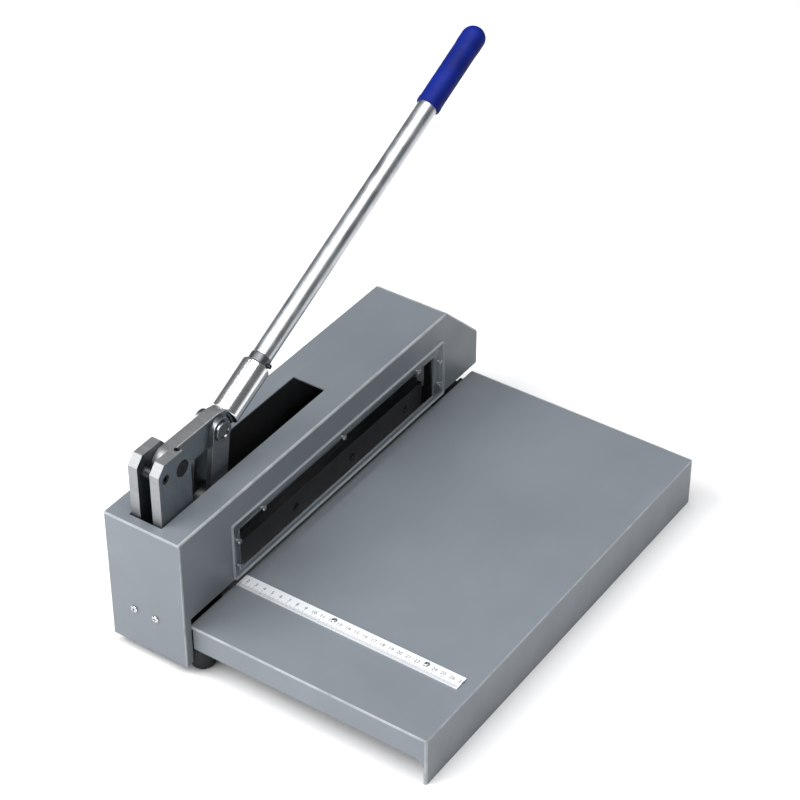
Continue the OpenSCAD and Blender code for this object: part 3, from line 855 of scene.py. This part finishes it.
@dataclass
class Base:
    """The base plate, its screws and the rubber feet."""

    foot_wide: float = 14.0 * MM
    foot_narrow: float = 12.5 * MM
    foot_height: float = 26.0 * MM
    foot_edge: float = 3.0 * MM
    foot_rim: float = 1.0 * MM
    recess: float = 6.0 * MM
    recess_depth: float = 14.0 * MM
    bore: float = 2.6 * MM

    def foot_profile(self) -> Profile:
        """Draws the outline of a foot, from its recess outwards.

        Returns:
            The outline.
        """
        rim = self.foot_rim
        lower = arc((self.foot_narrow - self.foot_edge, self.foot_edge), self.foot_edge, -90, 0)
        upper = arc((self.foot_wide - rim, self.foot_height - rim), rim, 0, 90, 4)
        return [
            (self.recess, 0.0), *lower, *upper, (self.bore, self.foot_height),
            (self.bore, self.recess_depth), (self.recess, self.recess_depth)
        ]

    def feet(self) -> None:
        """Makes the four feet as one moulded set."""
        low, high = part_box("rubber_feet")
        feet = bmesh.new()
        for x in (low.x + self.foot_wide, high.x - self.foot_wide):
            for y in (low.y + self.foot_wide, high.y - self.foot_wide):
                foot = turned(self.foot_profile(), Matrix.Translation((x, y, low.z)), 64)
                holder = bpy.data.meshes.new("foot")
                foot.to_mesh(holder)
                foot.free()
                feet.from_mesh(holder)
                bpy.data.meshes.remove(holder)
        publish("bench_feet", feet, Body.FRAME, FOOT_RUBBER, ["rubber_feet"])

    def build(self) -> None:
        """Makes the base."""
        finish_nodes(["base_plate"], Body.FRAME, BLACK_PAINT, Softening(0.6 * MM, 2))
        finish_nodes(["base_screws"], Body.FRAME, BLACKENED, Softening(0.12 * MM, 1))
        finish_nodes(["foot_screws"], Body.FRAME, ZINC_SCREW, Softening(0.12 * MM, 1))
        self.feet()


@dataclass
class LeverStand:
    """The two upright cheeks and what passes between them."""

    chamfer: float = 1.1 * MM
    pin_rim: float = 0.8 * MM
    centre_hole: float = 3.0 * MM
    centre_depth: float = 2.0 * MM

    def pin(self) -> None:
        """Makes the fulcrum pin, with a centre hole in each end."""
        low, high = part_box("fulcrum_pin")
        radius = (high.z - low.z) / 2
        length = high.x - low.x
        rim, hole, depth = self.pin_rim, self.centre_hole, self.centre_depth
        profile = [
            (0.0, depth), (hole, 0.0), (radius - rim, 0.0), (radius, rim),
            (radius, length - rim), (radius - rim, length), (hole, length),
            (0.0, length - depth)
        ]
        publish("fulcrum_shaft", turned(profile, along_x("fulcrum_pin")), Body.FRAME,
                BLACKENED, ["fulcrum_pin"])

    def build(self) -> None:
        """Makes the stand."""
        finish_nodes(("cheek_left", "cheek_right"), Body.FRAME, DARK_PLATE,
                     Softening(self.chamfer, 1), MILLED)
        finish_nodes(("cheek_spacer", "cheek_tie_bolt", "pin_lock_screw"), Body.FRAME,
                     BLACKENED, Softening(0.2 * MM, 2))
        finish_nodes(["closing_buffer"], Body.FRAME, FOOT_RUBBER, Softening(0.6 * MM, 3))
        self.pin()


@dataclass
class Lever:
    """The lever arm and the handle that is locked into its socket."""

    angle: float = 26.0
    head_forward: float = 87.2 * MM
    head_up: float = 0.8 * MM
    socket_radius: float = 15.25 * MM
    socket_length: float = 60.0 * MM
    socket_shoulder: float = 3.5 * MM
    pocket_radius: float = 7.5 * MM
    pocket_end: float = 26.0 * MM
    spigot_radius: float = 9.03 * MM
    spigot_start: float = 30.0 * MM
    collar_radius: float = 11.2 * MM
    collar_end: float = 69.0 * MM
    collar_rim: float = 0.8 * MM
    tube_radius: float = 10.7 * MM
    tube_bore: float = 7.5 * MM
    tube_end: float = 482.4 * MM
    tube_rim: float = 0.6 * MM
    slip: float = 0.03 * MM
    grip_radius: float = 13.15 * MM
    grip_start: float = 389.0 * MM
    grip_end: float = 494.4 * MM
    grip_lip: float = 1.2 * MM
    grip_waist: float = 0.35 * MM
    rim: float = 1.4 * MM

    def axis(self) -> Matrix:
        """Finds the handle's place.

        Returns:
            A place whose Z axis runs up the handle from the socket's end.
        """
        joint = next(j for j in frame["joints"] if j["child"] == Body.LEVER.value)
        start = Vector(joint["pos_m"]) + Vector((0.0, self.head_forward, self.head_up))
        return Matrix.Translation(start) @ Matrix.Rotation(
            math.radians(self.angle - 90.0), 4, "X")

    def arm(self) -> None:
        """Makes the forged arm."""
        finish_nodes(["lever_arm"], Body.LEVER, DARK_PLATE, Softening(0.9 * MM, 2), MILLED)

    def socket(self) -> None:
        """Makes the plated socket, with a turned rim below and a round shoulder above."""
        outer, length, rim = self.socket_radius, self.socket_length, self.rim
        shoulder = self.socket_shoulder
        bore = self.spigot_radius
        pocket, pocket_end = self.pocket_radius, self.pocket_end
        profile = [
            (pocket, 0.0), *arc((outer - rim, rim), rim, -90, 0, 5),
            *arc((outer - shoulder, length - shoulder), shoulder, 0, 90, 8),
            (bore, length), (bore, self.spigot_start), (0.0, self.spigot_start),
            (0.0, pocket_end), (pocket, pocket_end)
        ]
        publish("plated_socket", turned(profile, self.axis()), Body.LEVER, CHROME,
                ["handle_socket"])

    def collar(self) -> None:
        """Makes the dark locking collar above the socket."""
        outer, bore, rim = self.collar_radius, self.spigot_radius, self.collar_rim
        low, high = self.socket_length, self.collar_end
        profile = [
            (bore, low), *arc((outer - rim, low + rim), rim, -90, 0, 4),
            *arc((outer - rim, high - rim), rim, 0, 90, 4), (bore, high)
        ]
        publish("locking_collar", turned(profile, self.axis()), Body.LEVER, COLLAR,
                ["lock_collar"])

    def tube(self) -> None:
        """Makes the pipe, turned down where it enters the socket."""
        spigot = self.spigot_radius - self.slip
        rim = self.tube_rim
        profile = [
            (self.tube_bore, self.spigot_start), (spigot, self.spigot_start),
            (spigot, self.collar_end), (self.tube_radius - rim, self.collar_end),
            (self.tube_radius, self.collar_end + rim),
            (self.tube_radius, self.tube_end), (self.tube_bore, self.tube_end)
        ]
        publish("handle_pipe", turned(profile, self.axis()), Body.LEVER, PIPE,
                ["handle_tube"])

    def grip(self) -> None:
        """Makes the dipped grip, with a rolled lip and a domed tip."""
        outer, start, end = self.grip_radius, self.grip_start, self.grip_end
        bore = self.tube_radius + self.slip
        lip, waist = self.grip_lip, self.grip_waist
        profile = [
            (bore, start), *arc((outer - lip, start + lip), lip, -90, 0, 5),
            (outer, start + 5 * MM), (outer - waist, start + 7 * MM),
            (outer - waist, end - outer - 16 * MM), (outer, end - outer - 10 * MM),
            *arc((0.0, end - outer), outer, 0, 90, 14),
            (0.0, self.tube_end), (bore, self.tube_end)
        ]
        publish("vinyl_grip", turned(profile, self.axis()), Body.LEVER, GRIP, ["hand_grip"])

    def build(self) -> None:
        """Makes the lever and its handle."""
        self.arm()
        self.socket()
        self.collar()
        self.tube()
        self.grip()
        finish_nodes(["set_screw"], Body.LEVER, BLACKENED, Softening(0.3 * MM, 2))


@dataclass
class Links:
    """The two flat links, their pins and retaining rings."""

    rim: float = 0.9 * MM
    shaft_radius: float = 7.0 * MM
    head_thick: float = 3.5 * MM
    head_edge: float = 0.4 * MM
    hollow_radius: float = 7.0 * MM
    hollow_slope: float = 0.8 * MM
    hollow_depth: float = 1.4 * MM

    def upper_pin(self) -> None:
        """Makes the headed pin at the links' upper end."""
        low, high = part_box("link_pin")
        head = (high.z - low.z) / 2
        length = high.x - low.x
        shaft, hollow = self.shaft_radius, self.hollow_radius
        rim, edge = self.rim, self.head_edge
        under = length - self.head_thick
        floor = length - self.hollow_depth
        profile = [
            (0.0, 0.0), (shaft - rim, 0.0), (shaft, rim), (shaft, under), (head - edge, under),
            (head, under + edge), *arc((head - rim, length - rim), rim, 0, 90, 5),
            (hollow, length), (hollow - self.hollow_slope, floor), (0.0, floor)
        ]
        publish("upper_link_pin", turned(profile, along_x("link_pin")), Body.LINKS, PIN_HEAD,
                ["link_pin"])

    def lower_pin(self) -> None:
        """Makes the plain pin at the links' lower end."""
        publish("lower_link_pin", plain_pin("drop_pin", self.rim), Body.LINKS, BLACKENED,
                ["drop_pin"])

    def build(self) -> None:
        """Makes the links."""
        finish_nodes(("link_left", "link_right"), Body.LINKS, LINK_STEEL, Softening(0.6 * MM, 2))
        finish_nodes(["link_circlips"], Body.LINKS, BLACKENED, Softening(0.15 * MM, 1))
        self.upper_pin()
        self.lower_pin()


@dataclass
class BladeCarrier:
    """The swinging beam with its web, blade and bolts."""

    edge: float = 0.8 * MM

    def build(self) -> None:
        """Makes the carrier."""
        finish_nodes(["blade_beam"], Body.CARRIER, BLACK_PAINT, Softening(self.edge, 2))
        finish_nodes(["beam_web"], Body.CARRIER, BLACK_PAINT, Softening(self.edge, 2))
        finish_nodes(["end_block"], Body.CARRIER, BRIGHT, Softening(self.edge, 2))
        finish_nodes(["upper_blade"], Body.CARRIER, BLADE, Softening(0.15 * MM, 1))
        finish_nodes(("upper_blade_bolts", "beam_screws"), Body.CARRIER, BLACKENED,
                     Softening(0.25 * MM, 2))


@dataclass
class Bed:
    """The lower blade, the bar under it and the pivot of the carrier."""

    pivot_rim: float = 1.0 * MM

    def pivot(self) -> None:
        """Makes the carrier's pivot pin."""
        publish("pivot_shaft", plain_pin("pivot_pin", self.pivot_rim), Body.FRAME, GROUND,
                ["pivot_pin"])

    def build(self) -> None:
        """Makes the bed and the pivot."""
        finish_nodes(["lower_blade"], Body.FRAME, GROUND, Softening(0.15 * MM, 1))
        finish_nodes(["bed_bar"], Body.FRAME, BLACK_PAINT, Softening(0.5 * MM, 2))
        finish_nodes(("pivot_bracket_left", "pivot_bracket_right"), Body.FRAME, BLACK_PAINT,
                     Softening(0.8 * MM, 2))
        finish_nodes(("lower_blade_screws", "pivot_circlips"), Body.FRAME, BLACKENED,
                     Softening(0.15 * MM, 1))
        self.pivot()


@dataclass
class Table:
    """The side table, its ribs and the ledge that it hangs from."""

    fold: float = 2.4 * MM

    def build(self) -> None:
        """Makes the table."""
        open_sides = (Vector((0, 0, -1)), Vector((-1, 0, 0)))
        soft = Softening(0.35 * MM, 1, self.fold, 4, open_sides)
        publish("table_top", soft.copy("table_tray"), Body.FRAME, PAINT, ["table_tray"])
        finish_nodes(["table_ribs"], Body.FRAME, PAINT, Softening(0.4 * MM, 2))
        finish_nodes(["table_ledge"], Body.FRAME, BLACK_PAINT, Softening(0.5 * MM, 2))
        finish_nodes(["table_screws"], Body.FRAME, BLACKENED, Softening(0.2 * MM, 2))


@dataclass
class Rule:
    """The measuring rule: its strip, marks, numbers and screws."""

    zero_from_end: float = 13.0 * MM
    mark_step: float = 1.0 * MM
    mark_width: float = 0.28 * MM
    long_mark: float = 7.0 * MM
    middle_mark: float = 5.2 * MM
    short_mark: float = 3.6 * MM
    ink_height: float = 0.06 * MM
    digit_height: float = 4.2 * MM
    digit_gap: float = 0.8 * MM
    digit_share: float = 0.7
    first_number: int = 2
    margin: float = 0.5 * MM
    end_margin: float = 1.0 * MM

    def mark_length(self, step: int) -> float:
        """Chooses how long a mark is.

        Args:
            step: the mark's place on the rule, in millimetres.

        Returns:
            The mark's length in metres.
        """
        if step % 10 == 0:
            return self.long_mark
        return self.middle_mark if step % 5 == 0 else self.short_mark

    def marks(self) -> None:
        """Makes the printed millimetre marks along the rule's near edge."""
        low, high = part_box("scale_rule")
        zero = low.x - self.zero_from_end
        shape = bmesh.new()
        first = math.ceil((low.x + self.end_margin - zero) / self.mark_step)
        last = math.floor((high.x - self.end_margin - zero) / self.mark_step)
        for step in range(first, last + 1):
            length = self.mark_length(step)
            middle = Vector((zero + step * self.mark_step,
                             low.y + self.margin + length / 2, high.z))
            place = Matrix.Translation(middle) @ Matrix.Diagonal(
                (self.mark_width, length, self.ink_height, 1.0))
            bmesh.ops.create_cube(shape, size=1.0, matrix=place)
        publish("rule_marks", shape, Body.FRAME, RULE_INK)

    def numbers(self) -> None:
        """Makes the printed centimetre numbers above the long marks."""
        low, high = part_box("scale_rule")
        zero = low.x - self.zero_from_end
        shape = bmesh.new()
        line = low.y + self.margin + self.long_mark + self.digit_gap
        for number in range(self.first_number, int((high.x - zero) / (10 * MM)) + 1):
            middle = Vector((zero + number * 10 * MM, line, high.z))
            curve = bpy.data.curves.new("number", "FONT")
            curve.body = str(number)
            curve.size = self.digit_height / self.digit_share
            curve.extrude = self.ink_height / 2
            curve.align_x = "CENTER"
            curve.resolution_u = 3
            holder = bpy.data.objects.new("number", curve)
            bpy.context.scene.collection.objects.link(holder)
            digits = holder.to_mesh()
            digits.transform(Matrix.Translation(middle))
            shape.from_mesh(digits)
            bpy.data.objects.remove(holder)
            bpy.data.curves.remove(curve)
        publish("rule_numbers", shape, Body.FRAME, RULE_INK)

    def build(self) -> None:
        """Makes the rule."""
        finish_nodes(["scale_rule"], Body.FRAME, RULE_FACE, Softening(0.2 * MM, 2))
        finish_nodes(["rule_screws"], Body.FRAME, ZINC_SCREW, Softening(0.1 * MM, 1))
        self.marks()
        self.numbers()


# ---- the studio ----


@dataclass
class Studio:
    """A pale floor, soft lights and the camera."""

    camera_at: Vector = Vector((1.0616, -1.6084, 1.6718))
    camera_right: Vector = Vector((0.8252, 0.5649, 0.0009))
    camera_up: Vector = Vector((-0.3448, 0.5024, 0.7929))
    lens: float = 110.99
    shift_up: float = 0.003
    sensor: float = 36.0
    far: float = 50.0
    aim: Vector = Vector((0.0, 0.0, 0.1))
    floor_size: float = 12.0
    floor_colour: Colour = (0.93, 0.93, 0.935)
    sky: Colour = (0.92, 0.96, 1.0)
    sky_strength: float = 0.13

    def floor(self) -> None:
        """Lays the floor."""
        shape = bmesh.new()
        bmesh.ops.create_grid(shape, x_segments=2, y_segments=2, size=self.floor_size / 2)
        mesh = bpy.data.meshes.new("studio_floor")
        shape.to_mesh(mesh)
        shape.free()
        graph = Graph("floor_sweep")
        graph.set(Base_Color=(*self.floor_colour, 1.0), Roughness=0.9)
        mesh.materials.append(graph.material)
        floor = bpy.data.objects.new("studio_floor", mesh)
        bpy.context.scene.collection.objects.link(floor)

    def light(self, name: str, at: Vector, size: float, power: float) -> None:
        """Hangs one soft light that points at the machine.

        Args:
            name: the light's name.
            at: where it hangs, in metres.
            size: its side, in metres.
            power: its power, in watts.
        """
        lamp = bpy.data.lights.new(name, "AREA")
        lamp.size = size
        lamp.energy = power
        holder = bpy.data.objects.new(name, lamp)
        holder.location = at
        way = self.aim - at
        holder.rotation_euler = way.to_track_quat("-Z", "Y").to_euler()
        bpy.context.scene.collection.objects.link(holder)

    def camera(self) -> None:
        """Sets the camera."""
        data = bpy.data.cameras.new("camera")
        data.lens = self.lens
        data.sensor_width = self.sensor
        data.shift_y = self.shift_up
        data.clip_end = self.far
        holder = bpy.data.objects.new("camera", data)
        back = self.camera_right.cross(self.camera_up)
        turn = Matrix((self.camera_right, self.camera_up, back)).transposed().to_4x4()
        holder.matrix_world = Matrix.Translation(self.camera_at) @ turn
        bpy.context.scene.collection.objects.link(holder)
        bpy.context.scene.camera = holder

    def world(self) -> None:
        """Sets the sky and a plain view of the colours."""
        world = bpy.data.worlds.new("studio_sky")
        world.use_nodes = True
        back = world.node_tree.nodes["Background"]
        back.inputs["Color"].default_value = (*self.sky, 1.0)
        back.inputs["Strength"].default_value = self.sky_strength
        bpy.context.scene.world = world
        bpy.context.scene.view_settings.view_transform = "Standard"

    def build(self) -> None:
        """Sets up the studio."""
        self.camera()
        self.floor()
        self.world()
        self.light("key_left", Vector((-1.5, -1.6, 2.4)), 1.8, 92.0)
        self.light("top", Vector((0.35, 0.15, 3.0)), 2.2, 80.0)
        self.light("front_low", Vector((-0.2, -2.6, 0.9)), 1.2, 26.0)


def main() -> None:
    """Builds the studio and then the machine, one sub-assembly at a time."""
    logging.basicConfig(level=logging.INFO, format="%(name)s: %(message)s")
    Studio().build()
    assemblies: list[tuple[str, Callable[[], None]]] = [
        ("housing", Housing().build), ("base", Base().build),
        ("lever stand", LeverStand().build), ("lever", Lever().build),
        ("links", Links().build), ("blade carrier", BladeCarrier().build),
        ("bed", Bed().build), ("table", Table().build), ("rule", Rule().build),
    ]
    for name, build in assemblies:
        LOG.info("building the %s", name)
        build()


if __name__ == "__main__":
    main()
